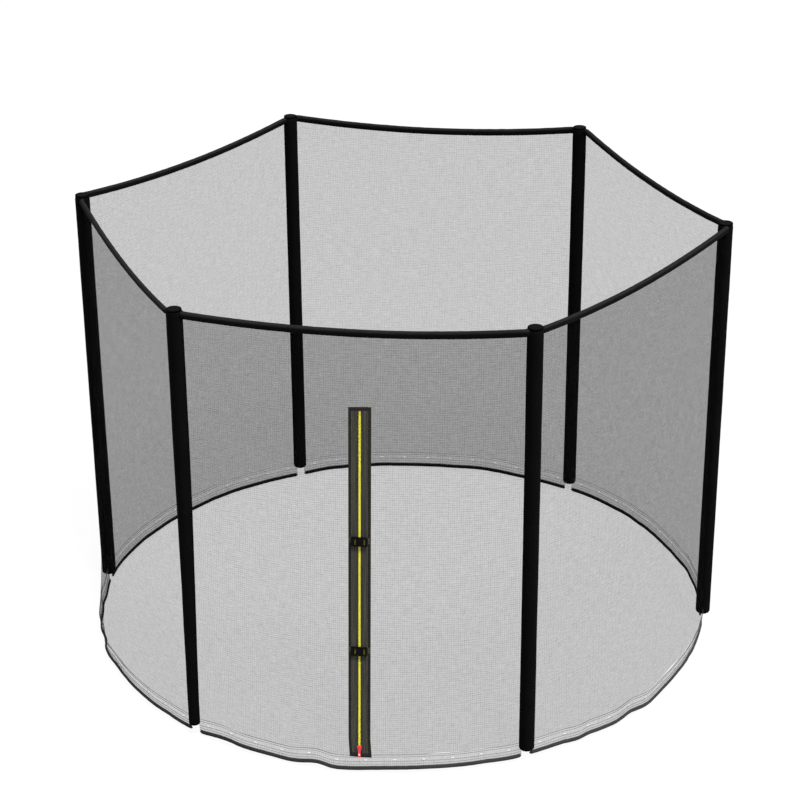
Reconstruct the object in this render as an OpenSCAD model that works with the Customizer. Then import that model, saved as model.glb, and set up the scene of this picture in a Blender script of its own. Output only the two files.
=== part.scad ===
// Safety enclosure of a round garden trampoline: six padded poles, a net wall with a
// padded rim and a corded hem, and a zipped door with two buckles over the zip.
// Millimetres. The poles stand on the XY plane round the origin, +Z is up and the
// door faces -Y. Poles and spans are numbered anticlockwise from the pole at the
// front left; span 1, from pole 1 to pole 2, holds the door.

/* [Enclosure] */
// Radius of the circle through the axes of the poles
pole_circle_r = 1220; // [1000:10:1800]
// Height of a pole, from its foot to the top of its cap
pole_h = 1652; // [1500:1:2000]

/* [Poles] */
// Outer diameter of the steel tube
tube_od = 25.4; // [22:0.1:34]
// Wall of the steel tube
tube_wall = 1.2; // [0.8:0.1:2]
// Length of the lower tube
lower_tube_len = 860; // [700:5:1000]
// Length of the upper tube's narrowed neck, inside the lower tube
neck_len = 60; // [40:1:100]
// Gap all round between the neck and the lower tube
neck_gap = 0.1; // [0.05:0.05:0.3]
// Widening of the lower tube's bore, all round, where the neck goes in
socket_widen = 0.2; // [0.1:0.05:0.3]
// How far that widening starts below the neck
socket_lead = 5; // [2:0.5:10]
// Thickness of the foam on a pole
foam_t = 12.2; // [8:0.1:20]
// Height at which the two lengths of foam meet
foam_joint_z = 900; // [880:5:1300]
// Gap between those two lengths of foam
foam_gap = 1.5; // [1:0.5:3]
// Thickness of the fabric sleeve
sleeve_t = 1.5; // [0.8:0.1:2.5]
// Rounding of a sleeve's foot
foot_round = 9; // [4:0.5:10]
// Least width of the flat ring inside that rounding
foot_flat = 1; // [0.5:0.5:4]
// Outer diameter at the foot of pole 1's sleeve, which is drawn in
drawn_foot_od = 38; // [36:0.5:50]
// Height below which pole 1's sleeve is drawn in to that diameter
drawn_z = 100; // [60:5:300]
// Height above which pole 1's sleeve has its full diameter
full_z = 1100; // [700:10:1400]
// Shank diameter of the screw through the tube joint
screw_d = 4; // [3:0.1:5]
// Length of the screw's shank
screw_len = 8; // [5:0.5:12]
// Head diameter of the screw
screw_head_d = 8; // [6:0.1:10]
// Height of the screw's head
screw_head_t = 2.4; // [1.5:0.1:3.5]

/* [Caps] */
// Thickness of a cap's disc
cap_t = 6; // [4:0.5:12]
// Rounding of a cap's upper edge
cap_round = 2; // [1:0.25:3]
// Length of the cap's spigot in the tube
spigot_len = 30; // [15:1:50]
// Gap all round between the spigot and the tube
spigot_gap = 0.2; // [0.1:0.05:0.5]

/* [Rim] */
// Outer diameter of the rim
rim_od = 25; // [20:0.5:32]
// Thickness of the rim's fabric
rim_t = 1.5; // [0.8:0.1:2.5]
// Rim's centre line at a pole, below the top of the pole
rim_drop = 13; // [13:0.5:40]
// Sag of the rim at mid span
rim_sag = 34; // [15:1:80]
// How far the rim's corner lies outside a pole's axis
rim_out = 17; // [10:0.5:20]
// How far the rim's corner lies to the clockwise side of a pole's axis
rim_aside = 9; // [0:0.5:10]

/* [Net and hem] */
// Thickness of the net
net_t = 1.6; // [0.8:0.1:1.8]
// Radius of the wall at the top of the hem band
wall_r = 1216; // [990:1:1800]
// Height of the hem band's top edge
band_top = 30; // [20:1:60]
// Thickness of the hem band
band_t = 1.6; // [0.8:0.1:1.8]
// Radius of the circle that the hem cord follows
hem_r = 1211; // [985:1:1795]
// Height of the hem cord's centre; the poles' feet are at 0
hem_z = -30; // [-60:1:-20]
// Diameter of the corded hem
hem_d = 14.4; // [8:0.2:18]
// Gap in the hem at each pole
hem_gap = 42; // [36:1:80]
// Width of a lacing slot in the hem band
slot_w = 15; // [10:0.5:25]
// Height of a lacing slot
slot_h = 4; // [3:0.25:4]
// Height of the slots' centre line
slot_z = 8; // [5:0.5:12]
// Distance between slots along the hem
slot_pitch = 104; // [60:1:200]
// Distance from a pole's axis to its first slot, along the hem
slot_start = 57; // [45:1:90]

/* [Door strip] */
// Middle of the door, to the right of the span's middle
door_x = 26; // [-100:1:100]
// Height of the strip's lower end
door_z = 18; // [14:1:28]
// Length of the strip
door_len = 1330; // [1200:5:1400]
// Width of the strip
door_w = 77; // [70:1:100]
// Thickness of the strip
door_t = 1.8; // [1:0.1:3]
// Width of the binding along the strip's sides
binding_w = 9; // [6:0.5:11]
// Height of the binding across the strip's lower end
binding_foot = 17; // [12:0.5:20]
// Height of the binding across the strip's upper end
binding_head = 12; // [10:0.5:20]
// Thickness of the binding
binding_t = 1.2; // [0.8:0.1:1.4]

/* [Zip] */
// Width of the zip that shows in the strip's window
zip_w = 12; // [10:0.5:14]
// Width of one row of teeth
coil_w = 3.2; // [2:0.1:4]
// Gap between the rows of teeth
coil_gap = 1.6; // [1.4:0.1:2]
// Thickness of the rows of teeth
coil_t = 3.4; // [2.6:0.1:3.6]
// Width of one zip tape
tape_w = 11; // [8:0.5:14]
// Thickness of a zip tape
tape_t = 1.2; // [0.8:0.1:1.6]
// Length of a zip stop
stop_len = 3; // [2:0.5:6]
// Length of the slider
slider_len = 20; // [16:0.5:26]
// Width of the slider at its upper end
slider_w = 17; // [14:0.5:20]
// Width of the slider at its lower end
slider_foot_w = 11; // [10:0.5:14]
// Thickness of each of the slider's plates
slider_t = 1.8; // [1.2:0.1:2.2]
// Height of the slider's lower end above the strip's lower end
slider_rest = 26; // [24:0.5:60]
// Gap between the slider and what it slides over
slider_gap = 0.3; // [0.2:0.05:0.6]
// Diameter of the pull tab's pin
pin_d = 2; // [1.6:0.1:2.4]
// Gap all round between the pin and the pull tab
pin_gap = 0.05; // [0.02:0.01:0.1]
// Radius of the pull tab's eye
eye_r = 2.2; // [2:0.1:2.8]
// Distance from the pin to the slider's upper end
pin_from_top = 7; // [5:0.5:9]
// Distance from the pin to the pull tab's far end
pull_len = 38; // [30:1:60]
// Width of the pull tab
pull_w = 9; // [7:0.5:12]
// Thickness of the pull tab
pull_t = 2; // [1.5:0.1:2.6]

/* [Buckles] */
// Lower buckle's middle above the strip's lower end
buckle_low = 423; // [300:1:550]
// Upper buckle's middle above the strip's lower end
buckle_high = 841; // [700:1:1000]
// Length of a closed buckle, across the door
buckle_len = 56; // [52:1:64]
// Width of a buckle, along the door
buckle_w = 32; // [30:1:40]
// Thickness of a buckle
buckle_t = 9; // [8:0.5:12]
// Distance from the buckle's middle to the joint between socket and plug
joint_x = 4; // [2:0.5:6]
// Width of the buckle's side rails
rail_w = 3; // [2.5:0.25:4]
// Length of the plug's prongs
prong_len = 12; // [8:0.5:13]
// Gap between plug and socket
buckle_gap = 0.3; // [0.2:0.05:0.5]
// Length of one prong along the door
prong_w = 4; // [3:0.25:5]
// Thickness of the walls round the socket's prong pocket
buckle_wall = 1.5; // [1.2:0.1:2]
// Length of the plug's solid base, from the joint to its slot
plug_base = 10; // [8:0.5:12]
// Width of the socket's slot
socket_slot = 6; // [5:0.5:8]
// Width of the plug's slot
plug_slot = 8; // [5:0.5:8]
// Thickness of the bar that a strap goes round
bar_t = 1.6; // [1.2:0.1:2]
// Thickness of the webbing strap
strap_t = 1.2; // [0.8:0.1:1.6]
// Length of strap sewn to the strip's edge
sewn_len = 8; // [6:0.5:8.5]
// Gap between a strap and the bar that it goes round
strap_gap = 0.3; // [0.2:0.05:0.5]

/* [Hidden] */
POLES = 6;
SPANS = [1:POLES];
function numbered(name, from = 1) = [for (i = [from:POLES]) str(name, "_", i)];

// Clearances, roundness and shared steps
seam_gap = 0.2;
soft_gap = 0.3;
cut_over = 1;
round_fn = 48;
long_fn = 360;
span_deg = 360 / POLES;

// Poles, from the tube outwards
tube_r = tube_od / 2;
bore_r = tube_r - tube_wall;
socket_r = bore_r + socket_widen;
neck_r = socket_r - neck_gap;
foam_bore_r = tube_r + soft_gap;
foam_r = foam_bore_r + foam_t;
sleeve_r = foam_r + soft_gap + sleeve_t;
tube_top = pole_h - cap_t;
neck_z = lower_tube_len - neck_len;
screw_z = lower_tube_len - neck_len / 2;

// Rim: a circular arc in an upright plane between two corners
rim_r = rim_od / 2;
rim_core_r = rim_r - rim_t - seam_gap;
rim_corner_r = norm([pole_circle_r + rim_out, rim_aside]);
rim_twist = -atan(rim_aside / (pole_circle_r + rim_out));
rim_apothem = rim_corner_r * cos(span_deg / 2);
rim_chord = 2 * rim_corner_r * sin(span_deg / 2);
rim_z = pole_h - rim_drop;
rim_arc_r = (rim_chord * rim_chord / 4 + rim_sag * rim_sag) / (2 * rim_sag);
rim_arc_deg = 2 * asin(rim_chord / 2 / rim_arc_r);
// The start of a rim reaches past the pole's axis, so this length is left off it
rim_cut = 10;
rim_cut_deg = 180 * rim_cut / (PI * rim_arc_r);

// Wall and hem
net_cols = 16;
net_rows = 6;
door_cols = 8;
band_low = hem_z + hem_d / 2 + seam_gap;
band_low_r = hem_r + 1;
hem_gap_deg = 2 * asin(hem_gap / 2 / hem_r);
hem_deg_per_mm = 180 / (PI * hem_r);
slot_count = floor((span_deg / hem_deg_per_mm - 2 * slot_start) / slot_pitch) + 1;

// Door: x across, y up along the strip, z outwards from the net's middle
rim_low_z = rim_z - rim_sag - rim_r - seam_gap;
lean = atan((wall_r - rim_apothem) / (rim_low_z - band_top));
door_y = -wall_r - (band_top - door_z) * tan(lean);
strip_back = 1;
strip_front = strip_back + door_t;
binding_front = strip_front + binding_t;
coil_side = coil_gap / 2 + coil_w;
tape_side = coil_side + tape_w;
slit_side = tape_side + soft_gap;
tape_back = strip_back - tape_t;
coil_back = strip_back - tape_t / 2 - coil_t / 2;
coil_front = coil_back + coil_t;
zip_foot = (band_top - door_z) / cos(lean) + cut_over;
teeth_foot = max(zip_foot, binding_foot + seam_gap);
window_top = door_len - binding_head;
zip_head = window_top - stop_len;
plate_back = coil_back - slider_gap;
plate_front = strip_front + slider_gap;
plate_top = plate_front + slider_t;
pin_n = plate_top + eye_r + slider_gap;
pin_s = slider_rest + slider_len - pin_from_top;
lug_x = 2.8;
lug_w = 1.5;
lug_r = eye_r - 0.4;
shoulder_drop = 7;

// Buckles: n is the height above the door's middle layer
buckle_n = pin_n + eye_r + slider_gap;
buckle_top = buckle_n + buckle_t;
buckle_end = buckle_len / 2;
bar_n = buckle_n + strap_t + 2 * strap_gap;
bar_out = buckle_end - strap_t - 2 * strap_gap;
pocket_top = bar_n + bar_t + strap_t + 2 * strap_gap;
window_w = buckle_w - 2 * rail_w;
strap_w = window_w - 2 * strap_gap;
prong_depth = prong_len + buckle_gap;
socket_slot_in = prong_depth - joint_x + buckle_wall;
plug_slot_in = joint_x + plug_base;
prong_low = buckle_n + buckle_wall;
prong_high = buckle_top - buckle_wall;

function band_r(z) = band_low_r + (wall_r - band_low_r) * (z - band_low) / (band_top - band_low);
function on_circle(r, a, z) = [r * cos(a), r * sin(a), z];
function pole_deg(i) = -90 + span_deg * (i - 1.5);
function mid_deg(i) = pole_deg(i) + span_deg / 2;
function bar_in(slot_in) = slot_in + 2 * strap_t + 2 * strap_gap;
function foot_r(i) = i == 1 ? drawn_foot_od / 2 : sleeve_r;
function foot_rounding(i) = min(foot_round, foot_r(i) - foam_bore_r - foot_flat);
// Height of the rim's underside at a share t of its span
function rim_under(t) = rim_z - rim_sag + rim_arc_r - rim_r - seam_gap
    - sqrt(pow(rim_arc_r, 2) - pow((t - 0.5) * rim_chord, 2));
function rim_corner(i) = on_circle(rim_corner_r, pole_deg(i) + rim_twist, 0);
// Foot and head of the net's upright line at a share t of span i
function net_foot(i, t) = on_circle(wall_r, pole_deg(i) + span_deg * t, band_top);
function net_head(i, t) = rim_corner(i) * (1 - t) + rim_corner(i + 1) * t + [0, 0, rim_under(t)];
function net_line(i, t) = [net_foot(i, t), net_head(i, t)];
// The same for a line at x in the door's flat plane
function door_plane(x, z) = [x, -wall_r + (z - band_top) * tan(lean), z];
function door_line(x) = [door_plane(x, band_top), door_plane(x, rim_under(0.5 + x / rim_chord))];

// ---- shared shapes

module at_pole(i) {
    rotate([0, 0, pole_deg(i)])
        translate([pole_circle_r, 0, 0])
            children();
}

module in_door() {
    translate([door_x, door_y, door_z])
        rotate([90 - lean, 0, 0])
            children();
}

module layer(back, front) {
    translate([0, 0, back])
        linear_extrude(front - back)
            children();
}

module tube(r_out, r_in, z_low, z_high) {
    translate([0, 0, z_low])
        difference() {
            cylinder(r = r_out, h = z_high - z_low, $fn = round_fn);
            translate([0, 0, -cut_over])
                cylinder(r = r_in, h = z_high - z_low + 2 * cut_over, $fn = round_fn);
        }
}

// Outline of a sleeve of pole i, set in by a distance, from its foot to a height
function sleeve_outline(i, inset, z_top) = let (
        foot = foot_r(i) - inset,
        full = sleeve_r - inset,
        r = foot_rounding(i) - inset,
        corner = [for (k = [0:6]) [foot - r + r * sin(15 * k), inset + r - r * cos(15 * k)]],
        taper = foot < full ? [[foot, drawn_z], [full, full_z]] : []
    ) concat([[foam_bore_r, inset]], corner, taper, [[full, z_top], [foam_bore_r, z_top]]);

// What a sleeve takes out of the net, band and rim that end at it
module sleeve_room(i) {
    at_pole(i)
        rotate_extrude($fn = round_fn)
            polygon(concat([[0, -cut_over], [foot_r(i) + seam_gap, -cut_over]],
                           foot_r(i) < sleeve_r ? [[foot_r(i) + seam_gap, drawn_z],
                                                   [sleeve_r + seam_gap, full_z]] : [],
                           [[sleeve_r + seam_gap, pole_h + rim_od], [0, pole_h + rim_od]]));
}

module between_sleeves(i) {
    difference() {
        children();
        sleeve_room(i);
        sleeve_room(i + 1);
    }
}

// A length of the rim's arc over span i
module rim_arc(i) {
    rotate([0, 0, mid_deg(i) + rim_twist])
        translate([rim_apothem, 0, rim_z - rim_sag + rim_arc_r])
            rotate([0, 90, 0])
                rotate([0, 0, rim_cut_deg - rim_arc_deg / 2])
                    rotate_extrude(angle = rim_arc_deg - rim_cut_deg, $fn = long_fn)
                        translate([rim_arc_r, 0])
                            children();
}

// An arc round the origin over span i, clear of the gaps at its poles
module hem_arc(i) {
    rotate([0, 0, pole_deg(i) + hem_gap_deg / 2])
        rotate_extrude(angle = span_deg - hem_gap_deg, $fn = long_fn)
            children();
}

// A closed sheet through upright lines of net, thickened along the span's outward direction
module net_sheet(i, lines) {
    push = on_circle(net_t / 2 / cos(lean), mid_deg(i), 0);
    n = len(lines);
    face = n * (net_rows + 1);
    points = [for (side = [1, -1]) for (line = lines) for (row = [0:net_rows])
              line[0] + (line[1] - line[0]) * row / net_rows + side * push];
    grid = [for (c = [0:n - 2]) for (row = [0:net_rows - 1]) c * (net_rows + 1) + row];
    ends = [for (row = [0:net_rows - 1]) [row, (n - 1) * (net_rows + 1) + row]];
    feet = [for (c = [0:n - 2]) c * (net_rows + 1)];
    up = net_rows + 1;
    polyhedron(points, concat(
        [for (k = grid) [k, k + 1, k + up]],
        [for (k = grid) [k + up, k + 1, k + up + 1]],
        [for (k = grid) [face + k, face + k + up, face + k + 1]],
        [for (k = grid) [face + k + up, face + k + up + 1, face + k + 1]],
        [for (e = ends) [e[0], face + e[0], e[0] + 1]],
        [for (e = ends) [face + e[0], face + e[0] + 1, e[0] + 1]],
        [for (e = ends) [e[1], e[1] + 1, face + e[1]]],
        [for (e = ends) [face + e[1], e[1] + 1, face + e[1] + 1]],
        [for (k = feet) [k, k + up, face + k]],
        [for (k = feet) [face + k, k + up, face + k + up]],
        [for (k = feet) [k + net_rows, face + k + net_rows, k + up + net_rows]],
        [for (k = feet) [face + k + net_rows, face + k + up + net_rows, k + up + net_rows]]));
}

// ---- poles

module pole_tube_lower(i) {
    color("silver")
        at_pole(i)
            difference() {
                union() {
                    tube(tube_r, bore_r, 0, neck_z - socket_lead);
                    tube(tube_r, socket_r, neck_z - socket_lead, lower_tube_len);
                }
                screw_hole();
            }
}

module pole_tube_upper(i) {
    color("silver")
        at_pole(i)
            difference() {
                union() {
                    tube(neck_r, neck_r - tube_wall, neck_z, lower_tube_len + tube_wall);
                    tube(tube_r, neck_r - tube_wall, lower_tube_len, lower_tube_len + tube_wall);
                    tube(tube_r, bore_r, lower_tube_len + tube_wall, tube_top);
                }
                screw_hole();
            }
}

module screw_hole() {
    translate([0, 0, screw_z])
        rotate([0, 90, 0])
            cylinder(d = screw_d + 2 * spigot_gap, h = tube_r + cut_over, $fn = round_fn);
}

module tube_screws() {
    color("silver")
        for (i = SPANS)
            at_pole(i)
                translate([tube_r, 0, screw_z])
                    rotate([0, 90, 0]) {
                        cylinder(d = screw_head_d, h = screw_head_t, $fn = round_fn);
                        translate([0, 0, -screw_len])
                            cylinder(d = screw_d, h = screw_len, $fn = round_fn);
                    }
}

module pole_foam(i) {
    inset = sleeve_t + soft_gap;
    color("dimgray")
        at_pole(i)
            difference() {
                rotate_extrude($fn = round_fn)
                    polygon(sleeve_outline(i, inset, tube_top));
                translate([0, 0, foam_joint_z])
                    cylinder(r = sleeve_r, h = foam_gap, $fn = round_fn);
                translate([0, 0, screw_z])
                    rotate([0, 90, 0])
                        cylinder(d = screw_head_d + 1, h = tube_r + screw_head_t + soft_gap, $fn = round_fn);
            }
}

module pole_sleeve(i) {
    color("black")
        at_pole(i)
            rotate_extrude($fn = round_fn)
                difference() {
                    polygon(sleeve_outline(i, 0, tube_top));
                    polygon(concat([[0, sleeve_t]], sleeve_outline(i, sleeve_t, tube_top + cut_over),
                                   [[0, tube_top + cut_over]]));
                }
}

module pole_caps() {
    color("black")
        for (i = SPANS)
            at_pole(i)
                translate([0, 0, tube_top])
                    rotate_extrude($fn = round_fn)
                        polygon(cap_outline());
}

function cap_outline() = let (
        edge = [for (k = [0:4]) [sleeve_r - cap_round + cap_round * cos(22.5 * k),
                                 cap_t - cap_round + cap_round * sin(22.5 * k)]],
        spigot_r = bore_r - spigot_gap
    ) concat([[0, -spigot_len], [spigot_r, -spigot_len], [spigot_r, 0], [sleeve_r, 0]],
             edge, [[0, cap_t]]);

// ---- rim, net and hem

module top_rim(i) {
    color("black")
        between_sleeves(i)
            rim_arc(i)
                difference() {
                    circle(r = rim_r, $fn = round_fn);
                    circle(r = rim_r - rim_t, $fn = round_fn);
                }
}

module rim_cores() {
    color("dimgray")
        for (i = SPANS)
            between_sleeves(i)
                rim_arc(i)
                    circle(r = rim_core_r, $fn = round_fn);
}

module net_panel(i) {
    color("gray")
        between_sleeves(i)
            net_sheet(i, [for (k = [0:net_cols]) net_line(i, k / net_cols)]);
}

// Share of span 1 at which its wall's foot is at x
function door_share(x) = (asin(x / wall_r) + span_deg / 2) / span_deg;

module net_door_left() {
    side = door_x - door_w / 2 - 2;
    t_end = door_share(side - door_w / 2);
    color("gray")
        net_door_half([for (k = [0:door_cols]) net_line(1, t_end * k / door_cols)],
                      [door_line(side), door_line(door_x)]);
}

module net_door_right() {
    side = door_x + door_w / 2 + 2;
    t_end = door_share(side + door_w / 2);
    color("gray")
        net_door_half([door_line(door_x), door_line(side)],
                      [for (k = [0:door_cols]) net_line(1, t_end + (1 - t_end) * k / door_cols)]);
}

module net_door_half(first, second) {
    difference() {
        between_sleeves(1)
            net_sheet(1, concat(first, second));
        in_door()
            translate([-slit_side, -door_len / 2, -10])
                cube([2 * slit_side, door_len / 2 + window_top + soft_gap, 20]);
    }
}

module hem_band(i) {
    color("darkgray")
        difference() {
            between_sleeves(i)
                hem_arc(i)
                    polygon([[band_low_r - band_t / 2, band_low], [band_low_r + band_t / 2, band_low],
                             [wall_r + band_t / 2, band_top], [wall_r - band_t / 2, band_top]]);
            for (k = [0:slot_count - 1])
                rotate([0, 0, pole_deg(i) + (slot_start + k * slot_pitch) * hem_deg_per_mm])
                    translate([band_r(slot_z) - 10, 0, slot_z])
                        lacing_slot();
        }
}

module lacing_slot() {
    flat = slot_w - slot_h;
    translate([0, -flat / 2, -slot_h / 2])
        cube([20, flat, slot_h]);
    for (side = [-1, 1])
        translate([0, side * flat / 2, 0])
            rotate([0, 90, 0])
                cylinder(d = slot_h, h = 20, $fn = round_fn);
}

module hem_cords() {
    color("black")
        for (i = SPANS)
            hem_arc(i)
                translate([hem_r, hem_z])
                    circle(d = hem_d, $fn = round_fn);
}

// ---- door strip and zip

module door_strip() {
    color("dimgray")
        in_door()
            layer(strip_back, strip_front)
                difference() {
                    translate([-door_w / 2, 0])
                        square([door_w, door_len]);
                    translate([-zip_w / 2, binding_foot])
                        square([zip_w, window_top - binding_foot]);
                }
}

module door_binding() {
    color("black")
        in_door()
            layer(strip_front, binding_front)
                difference() {
                    translate([-door_w / 2, 0])
                        square([door_w, door_len]);
                    translate([binding_w - door_w / 2, binding_foot])
                        square([door_w - 2 * binding_w, window_top - binding_foot]);
                }
}

module both_sides() {
    children();
    mirror([1, 0, 0])
        children();
}

module zip_tapes() {
    color("yellow")
        in_door()
            both_sides()
                translate([coil_side, zip_foot, tape_back])
                    cube([tape_w, window_top - zip_foot, tape_t]);
}

module zip_coil() {
    foot = teeth_foot + stop_len;
    color("yellow")
        in_door()
            both_sides()
                translate([coil_gap / 2, foot, coil_back])
                    cube([coil_w, zip_head - foot, coil_t]);
}

module zip_stops() {
    color("red")
        in_door()
            for (s = [teeth_foot, zip_head])
                translate([-coil_side, s, coil_back])
                    cube([2 * coil_side, stop_len, coil_t]);
}

module zip_slider() {
    post_w = coil_gap - 2 * slider_gap;
    color("red")
        in_door()
            translate([0, slider_rest, 0]) {
                for (z = [plate_back - slider_t, plate_front])
                    layer(z, z + slider_t)
                        polygon([[-slider_foot_w / 2, 0], [slider_foot_w / 2, 0],
                                 [slider_w / 2, slider_len - 4], [slider_w / 2 - 2, slider_len],
                                 [2 - slider_w / 2, slider_len], [-slider_w / 2, slider_len - 4]]);
                translate([-post_w / 2, slider_len / 2, plate_back - slider_t / 2])
                    cube([post_w, slider_len / 2 - 1, plate_front + slider_t - plate_back]);
                translate([0, pin_s - slider_rest, pin_n]) {
                    both_sides()
                        translate([lug_x, 0, 0])
                            rotate([0, 90, 0])
                                lug();
                    translate([-lug_x - lug_w, 0, 0])
                        rotate([0, 90, 0])
                            cylinder(d = pin_d, h = 2 * (lug_x + lug_w), $fn = round_fn);
                }
            }
}

// One ear that holds the pin, standing on the slider's front plate
module lug() {
    down = pin_n - plate_top + slider_t / 2;
    cylinder(r = lug_r, h = lug_w, $fn = round_fn);
    translate([0, -lug_r, 0])
        cube([down, 2 * lug_r, lug_w]);
}

module pull_tab() {
    neck_w = 2 * (lug_x - slider_gap);
    far = pin_s - pull_len;
    shoulder = pin_s - shoulder_drop;
    color("red")
        in_door()
            difference() {
                union() {
                    translate([-neck_w / 2, pin_s, pin_n])
                        rotate([0, 90, 0])
                            cylinder(r = eye_r, h = neck_w, $fn = round_fn);
                    layer(pin_n - pull_t / 2, pin_n + pull_t / 2) {
                        translate([-neck_w / 2, shoulder - 1])
                            square([neck_w, pin_s - shoulder]);
                        polygon([[-pull_w / 2, far + 1], [1 - pull_w / 2, far], [pull_w / 2 - 1, far],
                                 [pull_w / 2, far + 1], [pull_w / 2, shoulder - 2],
                                 [neck_w / 2, shoulder], [-neck_w / 2, shoulder],
                                 [-pull_w / 2, shoulder - 2]]);
                    }
                }
                translate([-neck_w / 2 - cut_over, pin_s, pin_n])
                    rotate([0, 90, 0])
                        cylinder(r = pin_d / 2 + pin_gap, h = neck_w + 2 * cut_over, $fn = round_fn);
            }
}

// ---- buckles

// A block from x0 to x1, w wide along the door, with its outer corners rounded
module block(x0, x1, w, n0, n1) {
    translate([x0, -w / 2, n0])
        cube([x1 - x0, w, n1 - n0]);
}

// One half's frame: outer end plate, side rails, open pocket and the bar for the strap
module strap_end(inner, slot_in, slot_out) {
    difference() {
        rounded_end(inner);
        block(slot_in, buckle_end + cut_over, window_w, buckle_n - cut_over, pocket_top);
        block(slot_in, slot_out, window_w, buckle_n, buckle_top + cut_over);
    }
    block(bar_in(slot_in), bar_out, window_w + rail_w, bar_n, bar_n + bar_t);
}

module rounded_end(inner) {
    r = 4;
    layer(buckle_n, buckle_top) {
        translate([inner, -buckle_w / 2])
            square([buckle_end - r - inner, buckle_w]);
        translate([buckle_end - r - 1, r - buckle_w / 2])
            square([r + 1, buckle_w - 2 * r]);
        for (y = [r - buckle_w / 2, buckle_w / 2 - r])
            translate([buckle_end - r, y])
                circle(r = r, $fn = round_fn);
    }
}

module at_buckle(s) {
    in_door()
        translate([0, s, 0])
            children();
}

module buckle_socket(s) {
    color("black")
        at_buckle(s)
            difference() {
                mirror([1, 0, 0])
                    strap_end(-joint_x, socket_slot_in, socket_slot_in + socket_slot);
                block(joint_x - prong_depth, joint_x + cut_over, window_w, prong_low, prong_high);
                block(joint_x - prong_depth + 1, joint_x - prong_depth / 2, buckle_w + cut_over,
                      prong_low + 1, prong_high - 1);
            }
}

module buckle_plug(s) {
    start = joint_x + buckle_gap;
    low = prong_low + buckle_gap;
    high = prong_high - buckle_gap;
    reach = window_w / 2 - buckle_gap - prong_w / 2;
    color("black")
        at_buckle(s) {
            strap_end(start, plug_slot_in, plug_slot_in + plug_slot);
            for (side = [-1, 1])
                translate([0, side * reach, 0])
                    block(joint_x - prong_len, start + cut_over, prong_w, low, high);
            block(joint_x - prong_len / 2, start + cut_over, prong_w, low, high);
        }
}

// Webbing from the strip's edge up, round a bar and back, seen along the door
module strap_loop(slot_in) {
    near = bar_in(slot_in) - strap_gap;
    far = bar_out + strap_gap;
    low = bar_n - strap_gap;
    high = bar_n + bar_t + strap_gap;
    foot = binding_front;
    edge = door_w / 2;
    sewn = edge - sewn_len;
    rotate([90, 0, 0])
        translate([0, 0, -strap_w / 2])
            linear_extrude(strap_w)
                difference() {
                    polygon([[near - strap_t, high + strap_t], [near - strap_t, low - strap_t],
                             [far - strap_t / 2, low - strap_t], [sewn, foot], [edge, foot],
                             [edge, foot + strap_t], [sewn + strap_t / 2, foot + strap_t],
                             [far + strap_t, low - strap_t / 2], [far + strap_t, high + strap_t]]);
                    translate([near, low])
                        square([far - near, high - low]);
                }
}

module buckle_strap(s) {
    color("olive")
        at_buckle(s) {
            strap_loop(plug_slot_in);
            mirror([1, 0, 0])
                strap_loop(socket_slot_in);
        }
}

for (i = SPANS)
    pole_tube_lower(i);
for (i = SPANS)
    pole_tube_upper(i);
for (i = SPANS)
    pole_foam(i);
for (i = SPANS)
    pole_sleeve(i);
for (i = SPANS)
    top_rim(i);
for (i = SPANS)
    hem_band(i);
for (i = [2:POLES])
    net_panel(i);
pole_caps();
tube_screws();
rim_cores();
hem_cords();
net_door_left();
net_door_right();
door_strip();
door_binding();
zip_tapes();
zip_coil();
zip_stops();
zip_slider();
pull_tab();
buckle_socket(buckle_low);  // buckle_socket_lower
buckle_socket(buckle_high);  // buckle_socket_upper
buckle_plug(buckle_low);  // buckle_plug_lower
buckle_plug(buckle_high);  // buckle_plug_upper
buckle_strap(buckle_low);  // buckle_strap_lower
buckle_strap(buckle_high);  // buckle_strap_upper
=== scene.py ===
from bisect import bisect_right
from math import asin, atan, atan2, cos, degrees, exp, hypot, pi, radians, sin, sqrt, tan

import bmesh
import bpy
from mathutils import Matrix, Vector, noise


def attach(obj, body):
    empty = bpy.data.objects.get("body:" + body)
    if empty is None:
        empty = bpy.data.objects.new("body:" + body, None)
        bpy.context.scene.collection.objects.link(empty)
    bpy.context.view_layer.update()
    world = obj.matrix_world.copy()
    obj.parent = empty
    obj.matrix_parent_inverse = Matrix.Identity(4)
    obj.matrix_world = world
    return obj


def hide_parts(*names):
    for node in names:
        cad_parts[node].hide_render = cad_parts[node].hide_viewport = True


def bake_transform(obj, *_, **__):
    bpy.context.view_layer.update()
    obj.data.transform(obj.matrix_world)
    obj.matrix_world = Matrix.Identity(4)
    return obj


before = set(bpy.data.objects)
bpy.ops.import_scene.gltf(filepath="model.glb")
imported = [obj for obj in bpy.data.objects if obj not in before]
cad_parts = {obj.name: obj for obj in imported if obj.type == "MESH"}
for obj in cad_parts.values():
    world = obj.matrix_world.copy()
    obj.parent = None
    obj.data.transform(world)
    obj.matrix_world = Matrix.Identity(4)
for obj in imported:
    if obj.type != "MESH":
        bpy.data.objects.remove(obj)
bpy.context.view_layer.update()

# ---- sizes, in millimetres, as the frame has them

MM = 0.001
SPANS = range(1, 7)

pole_circle_r, pole_h, cap_t = 1220, 1652, 6
sleeve_r, sleeve_top = 27.0, pole_h - cap_t
sleeve_slack, sleeve_wall, foot_slack = 1.3, 1.5, 3.0
foot_round, drawn_foot_r, drawn_round, drawn_z, full_z = 9, 19, 5, 100, 1100
foam_bore_r, foam_joint_z, foam_gap = 13, 900, 1.5
sleeve_sides, foam_sides = 48, 40

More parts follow.
